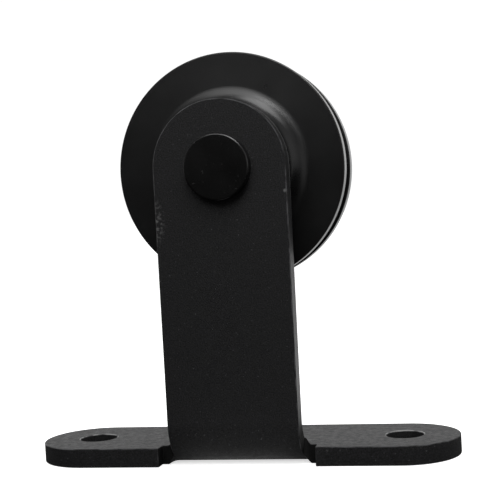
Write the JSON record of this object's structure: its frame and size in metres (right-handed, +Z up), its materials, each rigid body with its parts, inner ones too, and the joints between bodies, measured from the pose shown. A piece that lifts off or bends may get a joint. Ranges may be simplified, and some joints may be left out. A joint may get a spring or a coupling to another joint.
{
  "type": "sliding door roller",
  "caption": "Top-mounted sliding door roller: a steel plate bent to an upright strap on a foot with screw holes, carrying a grooved wheel on a ball bearing.",
  "frame": {"origin": "centre of the foot's underside, midway between its two screw holes", "axes": "+X along the foot and the rail, +Z up towards the wheel, -Y towards the strap's outer face and the axle's round head"},
  "size_m": [0.136, 0.052, 0.1275],
  "materials": {
    "powder_coat": "satin black powder coat with a fine texture",
    "black_bolt": "smooth satin black",
    "black_nylon": "turned black nylon, satin",
    "bearing_steel": "ground",
    "cage_steel": "pressed sheet",
    "seal_rubber": "matt",
    "spring_steel": "blackened",
    "zinc_steel": "zinc plated",
    "insert_nylon": "natural nylon"
  },
  "bodies": {
    "bracket": {"bracket": "powder_coat", "axle_bolt": "black_bolt", "front_spacer": "zinc_steel", "bearing_inner_ring": "bearing_steel", "rear_spacer": "zinc_steel", "rear_washer": "zinc_steel", "lock_nut": "zinc_steel", "lock_nut_insert": "insert_nylon"},
    "wheel": {"wheel": "black_nylon", "bearing_outer_ring": "bearing_steel", "front_seal": "seal_rubber", "rear_seal": "seal_rubber", "circlip": "spring_steel"},
    "cage": {"cage_front": "cage_steel", "cage_rear": "cage_steel"},
    "ball_1": {"ball_1": "bearing_steel"},
    "ball_2": {"ball_2": "bearing_steel"},
    "ball_3": {"ball_3": "bearing_steel"},
    "ball_4": {"ball_4": "bearing_steel"},
    "ball_5": {"ball_5": "bearing_steel"},
    "ball_6": {"ball_6": "bearing_steel"},
    "ball_7": {"ball_7": "bearing_steel"}
  },
  "joints": [
    {"name": "wheel_spin", "type": "hinge", "parent": "bracket", "child": "wheel", "pos_m": [0, 0.0035, 0.0915], "axis": [0, 1, 0], "continuous": true},
    {"name": "cage_spin", "type": "hinge", "parent": "bracket", "child": "cage", "pos_m": [0, 0.0035, 0.0915], "axis": [0, 1, 0], "continuous": true},
    {"name": "ball_1_spin", "type": "hinge", "parent": "cage", "child": "ball_1", "pos_m": [0, 0.0035, 0.1025], "axis": [0, 1, 0], "continuous": true},
    {"name": "ball_2_spin", "type": "hinge", "parent": "cage", "child": "ball_2", "pos_m": [0.0086, 0.0035, 0.09836], "axis": [0, 1, 0], "continuous": true},
    {"name": "ball_3_spin", "type": "hinge", "parent": "cage", "child": "ball_3", "pos_m": [0.01072, 0.0035, 0.08905], "axis": [0, 1, 0], "continuous": true},
    {"name": "ball_4_spin", "type": "hinge", "parent": "cage", "child": "ball_4", "pos_m": [0.00477, 0.0035, 0.08159], "axis": [0, 1, 0], "continuous": true},
    {"name": "ball_5_spin", "type": "hinge", "parent": "cage", "child": "ball_5", "pos_m": [-0.00477, 0.0035, 0.08159], "axis": [0, 1, 0], "continuous": true},
    {"name": "ball_6_spin", "type": "hinge", "parent": "cage", "child": "ball_6", "pos_m": [-0.01072, 0.0035, 0.08905], "axis": [0, 1, 0], "continuous": true},
    {"name": "ball_7_spin", "type": "hinge", "parent": "cage", "child": "ball_7", "pos_m": [-0.0086, 0.0035, 0.09836], "axis": [0, 1, 0], "continuous": true}
  ],
  "couplings": [
    {"joint": "cage_spin", "follows": "wheel_spin", "ratio": 0.6353},
    {"joint": "ball_1_spin", "follows": "wheel_spin", "ratio": 1.7125},
    {"joint": "ball_2_spin", "follows": "wheel_spin", "ratio": 1.7125},
    {"joint": "ball_3_spin", "follows": "wheel_spin", "ratio": 1.7125},
    {"joint": "ball_4_spin", "follows": "wheel_spin", "ratio": 1.7125},
    {"joint": "ball_5_spin", "follows": "wheel_spin", "ratio": 1.7125},
    {"joint": "ball_6_spin", "follows": "wheel_spin", "ratio": 1.7125},
    {"joint": "ball_7_spin", "follows": "wheel_spin", "ratio": 1.7125}
  ]
}
